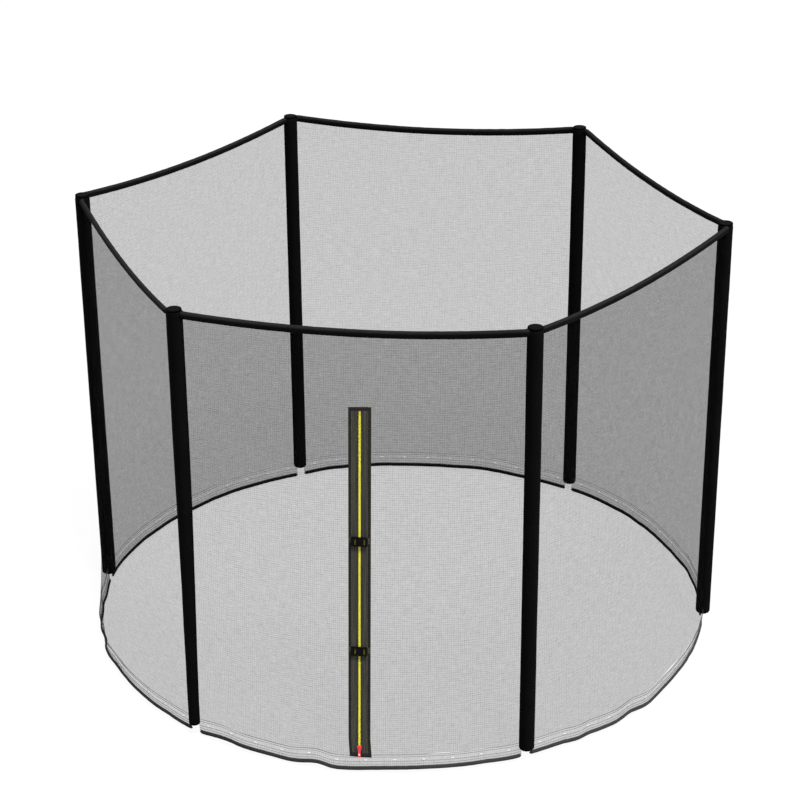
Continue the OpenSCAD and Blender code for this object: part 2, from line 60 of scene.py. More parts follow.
rim_r, rim_sag, rim_z = 12.5, 34, pole_h - 13
rim_out, rim_aside = pole_circle_r + 17, 9
rim_chord, rim_twist = hypot(rim_out, rim_aside), -atan(rim_aside / rim_out)
rim_arc_r = (rim_chord ** 2 / 4 + rim_sag ** 2) / (2 * rim_sag)
rim_cut, rim_bow, rim_drop, rim_fill, rim_tuck = 10, 2.5, 1.8, 0.6, 8
rim_sizes = {1: 1.05, 2: 0.94, 3: 0.94, 4: 1.08, 5: 1.0, 6: 0.77}  # some are pulled thin
rim_steps, rim_sides = 150, 28

wall_r, band_top = 1216, 30
hem_r, hem_z, hem_d, hem_gap, hem_flatness = 1211, -30, 14.4, 32, 0.58
hem_steps, hem_step, hem_sides = 170, 7.4, 20
band_low = hem_z + hem_d / 2
slot_w, slot_h, slot_z, slot_steps, slot_flat, slot_round = 16, 5.6, 8, 8, 2.9, 1.1
slot_pitch, slot_start, slot_count = 104, 57, 12
net_rows = 58

door_x, door_z, door_len, door_w = 26, 18, 1330, 77
lean = atan((wall_r - rim_chord * cos(radians(30))) / (rim_z - rim_sag - rim_r - 0.2 - band_top))
door_y = -wall_r - (band_top - door_z) * tan(lean)
binding_w, binding_foot, binding_head = 9, 17, 12
window_half, window_top = 4.35, door_len - binding_head
strip_back, strip_front, binding_front = 1.0, 2.8, 4.0
slit_half, slit_top = 15.3, door_z + (window_top + 1.0) * cos(lean)
buckle_heights = {"lower": 423, "upper": 841}


def on_circle(r, angle, z=0.0):
    return Vector((r * cos(angle), r * sin(angle), z))


def pole_angle(i):
    return radians(-120 + 60 * (i - 1))


def pole_foot(i):
    return on_circle(pole_circle_r, pole_angle(i))


def ease(x, low, high):
    """0 below low, 1 above high, and smooth between."""
    t = min(max((x - low) / (high - low), 0.0), 1.0)
    return t * t * (3 - 2 * t)


def bell(x, middle, width):
    return exp(-((x - middle) / width) ** 2)


def lumps(x, y, z):
    """Smooth noise between about -1 and 1."""
    return noise.noise(Vector((x, y, z)))


def wander(x, seed, pitch):
    """A smooth wave between about -1 and 1 that never repeats."""
    return lumps(x / pitch, 17.3 * seed, 4.1)


def steps(low, high, count):
    """Even steps from low to high, both among them."""
    return [low + (high - low) * k / count for k in range(count + 1)]


def around(count):
    """Angles once round a circle."""
    return [2 * pi * k / count for k in range(count)]


def distances(path):
    """How far along the path each of its points lies."""
    walked = [0.0]
    for a, b in zip(path, path[1:]):
        walked.append(walked[-1] + (b - a).length)
    return walked


def at_distance(path, walked, distance):
    """The point at a distance along a path, and the way the path goes there."""
    k = min(bisect_right(walked, distance), len(path) - 1) - 1
    share = (distance - walked[k]) / max(walked[k + 1] - walked[k], 1e-6)
    return path[k].lerp(path[k + 1], share), path[k + 1] - path[k]


def mesh_of(name, points, faces, unit=MM):
    mesh = bpy.data.meshes.new(name)
    mesh.from_pydata([tuple(p * unit for p in point) for point in points], [], faces)
    return mesh


def placed(name, data):
    """A new object in the scene."""
    made = bpy.data.objects.new(name, data)
    bpy.context.scene.collection.objects.link(made)
    return made


def sharpen(piece, angle):
    """Edges over an angle in degrees show as edges."""
    piece.data.set_sharp_from_angle(angle=radians(angle))


# ---- shader maths


class Wire:
    """A shader socket that works in Python expressions."""

    def __init__(self, graph, socket):
        self.graph, self.socket = graph, socket

    def maths(self, operation, *others):
        values = dict(enumerate((self, *others)))
        return self.graph.node("ShaderNodeMath", {"operation": operation}, values)

    def __add__(self, other):
        return self.maths("ADD", other)

    __radd__ = __add__

    def __sub__(self, other):
        return self.maths("SUBTRACT", other)

    def __rsub__(self, other):
        return self.maths("MULTIPLY_ADD", -1.0, other)

    def __mul__(self, other):
        return self.maths("MULTIPLY", other)

    def wave(self, pitch):
        """A sine of this value, once a pitch."""
        return (self * (2 * pi / pitch)).maths("SINE")

    def size(self):
        return self.maths("ABSOLUTE")

    def above(self, low, high):
        """0 below low, 1 above high, and smooth between."""
        return self.graph.node("ShaderNodeMapRange", {"interpolation_type": "SMOOTHSTEP"},
                               {"Value": self, "From Min": low, "From Max": high})


class Graph:
    """A shader tree that is being made."""

    def __init__(self, tree):
        self.tree = tree

    def node(self, kind, settings=None, sockets=None, out=0):
        made = self.tree.nodes.new(kind)
        for key, value in (settings or {}).items():
            setattr(made, key, value)
        for key, value in (sockets or {}).items():
            self.join(made.inputs[key], value)
        return Wire(self, made.outputs[out])

    def join(self, socket, value):
        if isinstance(value, Wire):
            self.tree.links.new(value.socket, socket)
        else:
            socket.default_value = rgba(value) if socket.type == "RGBA" else value

    def shown(self):
        """1 for a ray that is seen: straight, in a mirror or through something clear."""
        rays = self.node("ShaderNodeLightPath").socket.node
        share = Wire(self, rays.outputs["Is Camera Ray"])
        for kind in ("Is Glossy Ray", "Is Transmission Ray"):
            share = share.maths("MAXIMUM", Wire(self, rays.outputs[kind]))
        return share


class Finish(Graph):
    """A material that is being made, and the Principled shader it ends in."""

    def __init__(self, name, **plain):
        self.material = bpy.data.materials.new(name)
        self.material.use_nodes = True
        super().__init__(self.material.node_tree)
        self.shader = self.tree.nodes["Principled BSDF"]
        self.feed(**plain)

    def feed(self, **wires):
        for socket, value in wires.items():
            self.join(self.shader.inputs[socket.replace("_", " ")], value)
        return self.material

    def blend(self, share, a, b):
        """Colour a where share is 0 and b where it is 1."""
        return self.node("ShaderNodeMix", {"data_type": "RGBA"}, {0: share, 6: a, 7: b}, out=2)

    def place(self):
        """The point on the part, in metres."""
        return self.node("ShaderNodeTexCoord", out="Object")

    def split(self, vector):
        made = self.node("ShaderNodeSeparateXYZ", {}, {0: vector}).socket.node
        return [Wire(self, output) for output in made.outputs]

    def upward(self):
        """How far the surface faces up, from -1 to 1."""
        return self.split(self.node("ShaderNodeNewGeometry", out="Normal"))[2]

    def cloth(self):
        """Across and along the cloth, in metres."""
        return self.split(self.node("ShaderNodeUVMap", {"uv_map": "Cloth"}))[:2]

    def grid(self, across, along):
        return self.node("ShaderNodeCombineXYZ", {}, {0: across, 1: along})

    def scaled(self, vector, factors):
        return self.node("ShaderNodeVectorMath", {"operation": "MULTIPLY"}, {0: vector, 1: factors})

    def cloud(self, vector, scale, detail=2.0):
        """Noise from 0 to 1."""
        return self.node("ShaderNodeTexNoise", {}, {"Vector": vector, "Scale": scale, "Detail": detail})

    def bumped(self, height, depth, strength=1.0, on=None):
        sockets = {"Height": height, "Distance": depth, "Strength": strength}
        if on is not None:
            sockets["Normal"] = on
        return self.node("ShaderNodeBump", {}, sockets)


def rgba(colour):
    """Four numbers from linear red, green and blue, or from a screen colour such as 40403c."""
    if isinstance(colour, str):
        parts = [int(colour[k:k + 2], 16) / 255 for k in (0, 2, 4)]
        colour = [c / 12.92 if c <= 0.04045 else ((c + 0.055) / 1.055) ** 2.4 for c in parts]
    return (*colour, 1.0)


def woven(name, dark, light, pitch, depth, rough=0.6, spec=0.3, inner=None, underside_shade=None):
    """Plain-woven cloth: warp and weft over and under, worn and creased a little.

    inner is a second colour, the middle of its strip across the cloth and half the strip's width.
    The last argument, if given, is painted shade: the darker colour where the cloth doesn't face up and so
    gets less light from above.
    """
    f = Finish(name, Specular_IOR_Level=spec)
    across, along = f.cloth()
    over = across.wave(2 * pitch) * along.wave(2 * pitch)
    warp, weft = across.wave(pitch).size(), along.wave(pitch).size()
    height = over * (warp + weft) * 0.25 + 0.5
    place = f.place()
    patches = f.cloud(place, 9, 3)
    grain = f.cloud(f.scaled(place, (1, 1, 0.15)), 260)
    share = height * 0.55 + patches * 0.25 + grain * 0.25
    colour = f.blend(share.above(0.15, 0.95), dark, light)
    if inner:
        shade, middle, reach = inner
        colour = f.blend((across - middle).size().above(reach - 0.001, reach + 0.001), shade, colour)
    # painted shade: darker where the cloth faces down, away from the light above
    if underside_shade:
        colour = f.blend(f.upward().above(0.35, 0.95), underside_shade, colour)
    creases = f.cloud(f.scaled(place, (1, 1, 0.5)), 42, 3)
    normal = f.bumped(height, depth, on=f.bumped(creases, 0.0012, 0.25))
    return f.feed(Base_Color=colour, Roughness=rough + patches * 0.14 - 0.07, Normal=normal)


def tape_height(across, along, pitch, slant):
    """Ribs across a tape, once a pitch, and a slanting weave between them."""
    ribs = along.wave(pitch) * 0.5 + 0.5
    ends = (across + along * 0.5).wave(slant) * 0.5 + 0.5
    return ribs * 0.7 + ends * 0.3


def ribbed(name, dark, light, pitch, depth, rough=0.6):
    """Narrow woven tape, or thread."""
    f = Finish(name, Specular_IOR_Level=0.1)
    height = tape_height(*f.cloth(), pitch, pitch * 0.8)
    patches = f.cloud(f.place(), 30, 3)
    colour = f.blend((height * 0.6 + patches * 0.5).above(0.1, 0.95), dark, light)
    return f.feed(Base_Color=colour, Roughness=rough + patches * 0.16 - 0.08,
                  Normal=f.bumped(height, depth))


def net_finish(name, mean, depth, dark, light, seam=0.0):
    """Knitted mesh, open between its threads, with heavier yarns here and there both ways.

    mean is the share that covers what is behind, and depth how far the threads stand out of it.
    seam is how much denser the cloth is in its lowest few millimetres, where it is sewn in.
    """
    pitch, course_gap, wale_gap = 0.0021, 0.0083, 0.0074
    f = Finish(name, Specular_IOR_Level=0.03)
    across, along = f.cloth()
    grid = f.grid(across, along)
    wale = across.wave(pitch).size().above(0.2, 0.8)
    course = along.wave(pitch).size().above(0.2, 0.8)
    thread = 1.0 - wale * course
    long_runs = f.cloud(f.scaled(grid, (24, 190, 1)), 1)
    tall_runs = f.cloud(f.scaled(grid, (190, 20, 1)), 1)
    heavy = along.wave(course_gap) * (long_runs * 0.11 - 0.01)
    heavy = heavy + across.wave(wale_gap) * (tall_runs * 0.1 - 0.01)
    uneven = (long_runs - 0.5) * 0.2 + (tall_runs - 0.5) * 0.13 + (f.cloud(grid, 230) - 0.5) * 0.05
    uneven = uneven + (f.cloud(f.scaled(grid, (1, 1.7, 1)), 85) - 0.5) * 0.13
    alpha = (thread - 0.52) * depth + mean + heavy + uneven
    if seam:
        alpha = alpha + (1.0 - along.above(0.0045, 0.007)) * seam
    return f.feed(Base_Color=f.blend(f.cloud(grid, 90), dark, light), Roughness=0.8 + long_runs * 0.1,
                  Alpha=alpha.maths("MAXIMUM", 0.03).maths("MINIMUM", 0.97),
                  Normal=f.bumped(thread, 0.0004, 0.6))


def moulded(name, dark, light, rough, coat=0.0, drift=0.12, spec=0.5):
    """Moulded plastic: fine spark grain and handling marks."""
    f = Finish(name, Coat_Weight=coat, Coat_Roughness=0.12, Specular_IOR_Level=spec)
    place = f.place()
    marks, fine = f.cloud(place, 38, 4), f.cloud(place, 900)
    colour = f.blend((marks * 0.7 + fine * 0.3).above(0.25, 0.8), dark, light)
    return f.feed(Base_Color=colour, Roughness=rough + marks * drift - drift / 2,
                  Normal=f.bumped(fine, 0.00006, 0.5))


def metal(name, dark, light, rough, streak):
    """Bare tube metal, drawn along its length."""
    f = Finish(name)
    place = f.place()
    drawn = f.cloud(f.scaled(place, streak), 60, 3)
    spangle = f.node("ShaderNodeTexVoronoi", {}, {"Vector": place, "Scale": 160.0})
    colour = f.blend(drawn * 0.7 + spangle * 0.3, dark, light)
    return f.feed(Base_Color=colour, Metallic=1.0 - drawn.above(0.7, 0.8) * 0.1,
                  Roughness=rough + drawn * 0.2 - 0.1, Normal=f.bumped(drawn, 0.00005, 0.6))


def painted(name, colour, worn, rough):
    """Glossy paint over cast metal, rubbed thin here and there."""
    f = Finish(name, Coat_Weight=0.6, Coat_Roughness=0.08)
    place = f.place()
    peel, rub = f.cloud(place, 700), f.cloud(place, 330, 3)
    return f.feed(Base_Color=f.blend(rub.above(0.66, 0.78) * 0.6, colour, worn),
                  Roughness=rough + peel * 0.12 - 0.06, Normal=f.bumped(peel, 0.00003, 0.5))


def foam_finish():
    f = Finish("closed_cell_foam", Roughness=0.9)
    cells = f.node("ShaderNodeTexVoronoi", {}, {"Vector": f.place(), "Scale": 700.0})
    colour = f.blend(cells, "1c1c1c", "3a3a3a")
    return f.feed(Base_Color=colour, Normal=f.bumped(cells, 0.0005, 0.8))


def cap_finish():
    """Cap plastic: a paler disc on its flat top, inside a dark rim."""
    f = Finish("cap_moulding", Specular_IOR_Level=0.01)
    place = f.place()
    marks, fine = f.cloud(place, 60, 4), f.cloud(place, 900)
    flat, near = f.scaled(place, (1, 1, 0)), 1.0
    for i in SPANS:
        near = f.node("ShaderNodeVectorMath", {"operation": "DISTANCE"},
                      {0: flat, 1: pole_foot(i) * MM}, out=1).maths("MINIMUM", near)
    disc = f.upward().above(0.9, 0.99) * (1.0 - near.above(0.0205, 0.0225))
    colour = f.blend(disc * (0.55 + marks * 0.6), "020202", "111111")
    return f.feed(Base_Color=colour, Roughness=0.5 + marks * 0.2, Normal=f.bumped(fine, 0.00006, 0.5))


def strip_finish():
    """The strip's cloth: charcoal, bluer beside the zip, warmer and a little darker towards its edges, so
    that a lighter, greener band along its middle shows as painted sheen.
    """
    f = Finish("strip_cloth", Specular_IOR_Level=0.15)
    across, along = f.cloth()
    pitch = 0.0011
    over = across.wave(2 * pitch) * along.wave(2 * pitch) * 0.5 + 0.5
    grid = f.grid(across, along)
    yarns = f.cloud(f.scaled(grid, (330, 4, 1)), 1)
    slubs = f.cloud(f.scaled(grid, (60, 900, 1)), 1)
    side = across.size()
    cool = 1.0 - side.above(0.008, 0.014)
    warm = side.above(0.021, 0.026)
    base = f.blend((over * 0.1 + yarns * 0.7 + slubs * 0.3).above(0.38, 0.68), "222327", "504f44")
    base = f.blend(cool * 0.7, base, "2c2d40")
    # the outer parts are made warmer and a little darker, which leaves the middle band lighter: painted sheen
    base = f.blend(warm * 0.3, base, "38352c")
    return f.feed(Base_Color=base, Roughness=0.78 + yarns * 0.1,
                  Normal=f.bumped(over * 0.6 + yarns * 0.4, 0.00025, 0.8))


def webbing_finish(name, gold_from):
    """Woven strap in the strip's grey, near black from where it rises to the buckle, and gold on the part of
    its loop nearest the zip.
    """
    f = Finish(name, Specular_IOR_Level=0.1)
    across, along = f.cloth()
    height = tape_height(across, along, 0.0016, 0.0013)
    gold = f.blend(height, "453e12", "8c8030")
    grey = f.blend(height, "242422", "484845")
    patches = f.cloud(f.place(), 60, 3)
    grey = f.blend(along.above(0.0095, 0.0115), grey, "0a0a0a")
    return f.feed(Base_Color=f.blend(along.above(gold_from, gold_from + 0.0008), grey, gold),
                  Roughness=0.7 + patches * 0.14, Normal=f.bumped(height, 0.0003))


FINISHES = {
    "sleeve": woven("sleeve_cloth", "030303", "141414", 0.0011, 0.00022, spec=0.005),
    # the rim's underside is painted darker: painted shade
    "rim": woven("rim_cloth", "171717", "323232", 0.0011, 0.00022, spec=0.01, underside_shade="0c0c0c"),
    "foam": foam_finish(),
    "net": net_finish("net_mesh", 0.447, 0.28, "010101", "090909"),
    "band": net_finish("band_mesh", 0.41, 0.3, "2a2a2a", "606060", seam=0.3),
    "hem": woven("hem_cloth", "1e1e1e", "4a4a4a", 0.0016, 0.0003, spec=0.02,
                 inner=("101010", 0.0195, 0.0095)),
    "cap": cap_finish(),
    "steel": metal("galvanised_tube", (0.48, 0.49, 0.5), (0.72, 0.73, 0.74), 0.38, (1, 1, 0.1)),
    "screw": metal("zinc_screw", (0.5, 0.5, 0.48), (0.78, 0.78, 0.74), 0.3, (1, 1, 1)),
    "strip": strip_finish(),
    "binding": ribbed("binding_tape", "101010", "302f2b", 0.0013, 0.0002, 0.7),
    "tape": ribbed("zip_tape_cloth", (0.95, 0.84, 0.03), (1.0, 0.95, 0.05), 0.0009, 0.0001),
    "coil": moulded("zip_nylon", (0.96, 0.86, 0.03), (1.0, 0.95, 0.06), 0.5, spec=0.3),
    "stop": painted("stop_paint", (0.72, 0.015, 0.03), (0.5, 0.3, 0.28), 0.3),
    "slider": painted("slider_paint", (0.86, 0.015, 0.035), (0.62, 0.4, 0.36), 0.26),
    "pull": moulded("pull_plastic", (0.78, 0.012, 0.03), (0.92, 0.05, 0.06), 0.34, coat=0.4),
    "grip": moulded("grip_plastic", (0.75, 0.7, 0.68), (0.9, 0.88, 0.86), 0.4),
    "buckle": moulded("buckle_plastic", "020203", "0c0c0e", 0.4, drift=0.2, spec=0.06),
    "socket_webbing": webbing_finish("socket_webbing", 0.0275),
    "plug_webbing": webbing_finish("plug_webbing", 0.0210),
}
for colour, dark, light in (("dark", "161616", "2e2e2e"), ("grey", "3c3c3c", "6a6a6a"),
                            ("mustard", "5c4a14", "8c7428")):
    FINISHES[f"{colour}_thread"] = ribbed(f"{colour}_thread", dark, light, 0.0008, 0.0001)

# ---- pieces


class Cloth:
    """Points, faces and cloth coordinates, in millimetres, that grow into one piece."""

    def __init__(self):
        self.points, self.faces, self.corners = [], [], []

    def add(self, rings, closed=True, ends=False, across=None, hole=None):
        """A skin over rings of points; ends close it with a point at each end ring's middle."""
        start, n = len(self.points), len(rings[0])
        for ring in rings:
            self.points += ring
        middle = rings[len(rings) // 2]
        u = across or distances([*middle, middle[0]])
        v = [0.0]
        for a, b in zip(rings, rings[1:]):
            v.append(v[-1] + max((b[0] - a[0]).length, (b[n // 2] - a[n // 2]).length))
        for r in range(len(rings) - 1):
            for c in range(n if closed else n - 1):
                if hole and hole(r, c):
                    continue
                d = (c + 1) % n
                row, up = start + r * n, start + (r + 1) * n
                self.faces.append((row + c, row + d, up + d, up + c))
                left, right, low, high = u[c], u[c + 1], v[r], v[r + 1]
                self.corners.append(((left, low), (right, low), (right, high), (left, high)))
        if ends:
            self.cap(rings[0], start, True, u, v[0])
            self.cap(rings[-1], start + (len(rings) - 1) * n, False, u, v[-1])
        return self

    def cap(self, ring, row, flip, u, v):
        hub, n = len(self.points), len(ring)
        self.points.append(sum(ring, Vector()) / n)
        for c in range(n):
            d = (c + 1) % n
            self.faces.append((row + d, row + c, hub) if flip else (row + c, row + d, hub))
            self.corners.append(((u[c], v), (u[c + 1], v), (u[c], v + 3)))

    def sew(self, path, length, gap, r, up, lift):
        """A row of stitches along a path, each a short thread that dips in at both ends."""
        walked, place = distances(path), gap
        while place + length < walked[-1]:
            spine = []
            for k, height in enumerate((-0.8, 0.75, 1.0, 0.75, -0.8)):
                point, ahead = at_distance(path, walked, place + length * k / 4)
                spine.append(point + up(point) * (lift + r * height))
            side = ahead.cross(up(point)).normalized()
            self.add([[point + side * a + up(point) * b for a, b in circle(r if 0 < k < 4 else r * 0.6, 5)]
                      for k, point in enumerate(spine)])
            place += length + gap

    def make(self, name, finish, slot, replaces=None, body="enclosure"):
        """One mesh piece, with its cloth coordinates in metres."""
        mesh = mesh_of(name, self.points, self.faces)
        layer = mesh.uv_layers.new(name="Cloth")
        for polygon, uvs in zip(mesh.polygons, self.corners):
            polygon.use_smooth = True
            for loop, (u, v) in zip(polygon.loop_indices, uvs):
                layer.data[loop].uv = (u * MM, v * MM)
        mesh.update()
        piece = placed(name, mesh)
        mesh.materials.append(FINISHES[finish])
        if body:
            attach(piece, body)
        if replaces:
            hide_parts(replaces)
        return piece


def swept(path, ring_at, up=Vector((0, 0, 1))):
    """Rings round a path: ring_at(k, share) gives (sideways, upward) offsets for point k."""
    rings, count = [], len(path)
    for k, point in enumerate(path):
        ahead = (path[min(k + 1, count - 1)] - path[max(k - 1, 0)]).normalized()
        side = ahead.cross(up).normalized()
        top = side.cross(ahead)
        rings.append([point + side * a + top * b for a, b in ring_at(k, k / (count - 1))])
    return rings


def circle(r, count):
    return [(r * cos(a), r * sin(a)) for a in around(count)]


def outward(point):
    return Vector((point.x, point.y, 0)).normalized()


# ---- poles: foam, sleeves, rims


def pole_drift(i, z):
    """How far the drawn-in pole's padding has slumped to one side."""
    if i == 6:
        return ease(z, 100, 900) * 1.8 - 1.8
    return 5.6 * (1 - ease(z, 40, full_z)) ** 1.6 - 1.2 if i == 1 else 0.0


def foot_size(i):
    """The radius of a sleeve's foot and of the rounding round it."""
    return (drawn_foot_r, drawn_round) if i == 1 else (sleeve_r, foot_round)


def sleeve_radius(i, z):
    """Outer radius of a sleeve at a height, round its foot and up its taper."""
    foot, curve = foot_size(i)
    slack = sleeve_slack * (1.5 if i == 1 else 1.0)
    if z < curve:
        return foot - curve + sqrt(curve ** 2 - (curve - z) ** 2) + slack * z / curve
    if i == 1 and z < full_z:
        share = max((z - drawn_z) / (full_z - drawn_z), 0.0)
        return foot + (sleeve_r - foot) * (0.75 * share + 0.25 * ease(share, 0, 1)) + slack
    return sleeve_r + slack


def pole_centre(i, z):
    return pole_foot(i) + Vector((-pole_drift(i, z), 0, z))


def pole_ring(i, z, r, count=sleeve_sides, dent=None):
    centre = pole_centre(i, z)
    return [centre + on_circle(r + (dent(angle, z) if dent else 0.0), angle + pole_angle(i))
            for angle in around(count)]


def sleeve_dent(i):
    """The sleeve's surface: gathers at its foot, soft creases, and the seam on its inner side."""
    def dent(angle, z):
        soft = lumps(cos(angle) * 1.1, sin(angle) * 1.1, z * 0.006 + 9 * i) * 0.75
        ring = lumps(cos(angle) * 0.5, sin(angle) * 0.5, z * 0.045 + 31 * i)
        gather = sin(14 * angle + i) * 0.55 * bell(z, 4, 26)
        top = sin(11 * angle + 2 * i) * 0.3 * bell(z, sleeve_top, 20)
        seam = 0.7 * bell((angle - pi + 0.35) * sleeve_r, 0, 1.6)
        return soft * 0.8 + ring * 0.35 + gather + top + seam - 0.25
    return dent


for i in SPANS:
    foot, curve = foot_size(i)
    heights = [curve * (1 - cos(radians(15 * k))) for k in range(1, 7)]
    z = heights[-1]
    while z < sleeve_top - 14:
        z += 11 if z < 260 or z > 1500 else 17
        heights.append(min(z, sleeve_top - 4))
    shape = sleeve_dent(i)
    rings = [pole_ring(i, 4.0, foam_bore_r + 0.6), pole_ring(i, 0.6, foam_bore_r + 0.8),
             pole_ring(i, 0.0, foot - curve + 0.4)]
    rings += [pole_ring(i, z, sleeve_radius(i, z), dent=shape) for z in heights]
    for ring in rings:
        for point in ring:
            point.z -= foot_slack * (1 - ease(point.z, 0, 60))
    rings += [pole_ring(i, sleeve_top - 0.3, sleeve_r - 0.5), pole_ring(i, sleeve_top - 0.2, sleeve_r - 6)]
    sleeve = Cloth().add(rings)
    sleeve.make(f"sleeve_{i}", "sleeve", "sleeve_fabric", f"pole_sleeve_{i}")

    foam = Cloth()
    inside, outside = foam_bore_r - 0.1, -sleeve_slack - sleeve_wall - 0.9
    for low, high in ((6.0, foam_joint_z), (foam_joint_z + foam_gap, sleeve_top - 0.6)):
        levels = steps(low, high, 14)
        outer = [pole_ring(i, z, sleeve_radius(i, z) + outside, foam_sides) for z in levels]
        inner = [pole_ring(i, z, inside, foam_sides) for z in reversed(levels)]
        foam.add([pole_ring(i, low, inside, foam_sides), *outer, *inner])
    foam.make(f"foam_{i}", "foam", "foam", f"pole_foam_{i}")


def rim_point(i, t):
    """A point of the rim's centre line, at a share t of the span from pole i."""
    first, last = (on_circle(rim_chord, pole_angle(k) + rim_twist) for k in (i, i + 1))
    point = first.lerp(last, t)
    reach = (t - 0.5) * rim_chord
    walked = rim_chord / 2 + reach if t < 0.5 else rim_chord / 2 - reach + 18
    point -= outward(point) * rim_tuck * (1 - ease(walked, 30, 52))
    bow = sin(pi * t)
    point.z = rim_z - rim_sag + rim_arc_r - sqrt(rim_arc_r ** 2 - reach ** 2) - rim_drop * bow
    return point + on_circle(rim_bow * bow, pole_angle(i) + radians(30))


def rim_path(i, count):
    return [rim_point(i, t) for t in steps(rim_cut / rim_chord, 1, count)]


def rim_section(i):
    """A padded tube with a tuck along its underside, where the net is sewn in."""
    def ring(k, share):
        points = []
        for a in around(rim_sides):
            soft = lumps(cos(a) * 0.9, sin(a) * 0.9, share * 46 + 7 * i)
            pucker = sin(share * 420 + 2 * cos(a)) * bell(a, 1.5 * pi, 0.8)
            tuck = bell(a, 1.5 * pi, 0.3)
            size = (rim_r + rim_fill) * rim_sizes[i] + soft * 0.6 + pucker * 0.35 + tuck * 0.5 - 0.25
            points.append((size * cos(a), size * sin(a)))
        return points
    return ring


def cut_by(piece, cutters):
    for cutter in cutters:
        modifier = piece.modifiers.new("cut", "BOOLEAN")
        modifier.operation, modifier.object, modifier.solver = "DIFFERENCE", cutter, "EXACT"
    bpy.context.view_layer.update()
    cut = piece.evaluated_get(bpy.context.evaluated_depsgraph_get())
    shape = bpy.data.meshes.new_from_object(cut)
    piece.modifiers.clear()
    old, piece.data = piece.data, shape
    bpy.data.meshes.remove(old)
    sharpen(piece, 50)


cutters = []
for i in SPANS:
    room = Cloth().add([pole_ring(i, z, sleeve_radius(i, z) + 0.35) for z in (1400, 1500, 1600, 1700)],
                       ends=True)
    cutters.append(placed("sleeve_room", mesh_of("sleeve_room", room.points, room.faces)))

for i in SPANS:
    rim = Cloth().add(swept(rim_path(i, rim_steps), rim_section(i)), ends=True)
    piece = rim.make(f"rim_{i}", "rim", "sleeve_fabric", f"top_rim_{i}")
    cut_by(piece, [cutters[i - 1], cutters[i % 6]])

core = Cloth()
for i in SPANS:
    section = circle(rim_r * rim_sizes[i] - 2.2, 20)
    core.add(swept(rim_path(i, 60)[2:-2], lambda k, share: section), ends=True)
piece = core.make("rim_foam", "foam", "foam", "rim_cores")
cut_by(piece, cutters)
for cutter in cutters:
    bpy.data.objects.remove(cutter)

# ---- the hem's wave, the net and the hem

# how far the hem hangs up or down, and then in or out, at places round the circle in degrees
HEM_FALLS = (
    (4, 0), (16, -2), (24, -11), (32, -11), (40, -4), (48, 0), (56, 2), (64, -3), (72, -5), (80, -1),
    (88, -7), (96, -7), (104, -5), (112, -3), (124, -8), (128, -9), (136, -7), (144, -9), (152, -8),
    (160, -7), (168, -3), (176, 0), (212, 0), (215, 3), (218, 7), (221, 4), (224, 2), (227, 2),
    (230, -1.6), (233, -1), (235, -4.3), (237, -6.5), (241, -6.8), (243, -1.6), (245, 3.2), (247, 4),
    (249.2, -1.5), (252, -3.2), (254.7, -3.6), (257.4, -6.5), (258.7, -8), (260.6, -5.4), (262.5, 0.8),
    (263.7, 2.3), (265, -2.6), (266.2, -9.6), (267.4, -11.5), (269.5, -9.7), (274.6, -2.4), (282.4, -0.3),
    (286.4, -1.5), (290.3, -2.2), (293, -1.7), (295.3, -4.4), (298, -5.5), (301, -1.6), (303, 0.8),
    (307, 4), (309, -0.8), (311, -2.8), (313, 1.6), (315, -0.4), (319, -4.4), (321, -1.6), (323, 4),
    (325, -2.4), (327, -12), (329, -12), (331, -5), (333, 3), (335, 4.4), (337, 6), (339, 4), (343, 6.7),
    (345, 5.5), (347, 2), (350, 0.5), (353, -0.5), (355, -2.7), (357.5, -6.2))
HEM_DRAWS = (
    (181, 0), (186.5, -9), (190, -5), (192.7, -7), (197, -1), (199.5, 1), (203.2, -7), (206, 3.5),
    (209, 5), (210.7, 3), (213, -1), (218, 1), (224, 2), (230, 0), (318, 0), (332, 1.6), (344, 1.4),
    (350, 2.6), (353, 3.6), (357.5, 5.8))


def through(x, marks):
    """A smooth curve through (place, value) marks, level beyond its ends."""
    if not marks[0][0] < x < marks[-1][0]:
        return marks[0][1] if x <= marks[0][0] else marks[-1][1]
    k = max(j for j, mark in enumerate(marks) if mark[0] <= x)
    before, (a, p), (b, q), after = (marks[max(k - 1, 0)], marks[k], marks[k + 1],
                                     marks[min(k + 2, len(marks) - 1)])
    rise_p = (q - before[1]) / (b - before[0])
    rise_q = (after[1] - p) / (after[0] - a)
    t = (x - a) / (b - a)
    return ((2 * t ** 3 - 3 * t ** 2 + 1) * p + (t ** 3 - 2 * t ** 2 + t) * (b - a) * rise_p
            + (3 * t ** 2 - 2 * t ** 3) * q + (t ** 3 - t ** 2) * (b - a) * rise_q)


def hem_shift(angle):
    """How far the hem hangs out of its circle (outwards, upwards) at an angle round the origin."""
    a = degrees(angle) % 360
    free = 1 - ease(a, 228, 242) * (1 - ease(a, 298, 312))
    free_in = free * (1 - ease(a, 172, 184) * (1 - ease(a, 214, 226)))
    out = (2.4 * wander(a, 1, 5.5) + 1.5 * wander(a, 2, 2.3)) * free_in + through(a, HEM_DRAWS)
    up = (2.6 * wander(a, 3, 6.5) - 0.8) * free + through(a, HEM_FALLS)
    return out, up


def waved(point, share=1.0):
    """A point of the wall moved with the hem's wave, by a share of it."""
    out, up = hem_shift(atan2(point.y, point.x))
    if point.y < 0:
        out *= ease(abs(point.x - door_x), 50, 100)
    return point + outward(point) * (out * share) + Vector((0, 0, up * share))


def net_line(i, t):
    """The foot and the head of an upright line of the net, at a share t of its span."""
    foot = on_circle(wall_r, pole_angle(i) + radians(60 * t), band_top)
    return foot, rim_point(i, t) - Vector((0, 0, rim_r * rim_sizes[i] - 2.5))


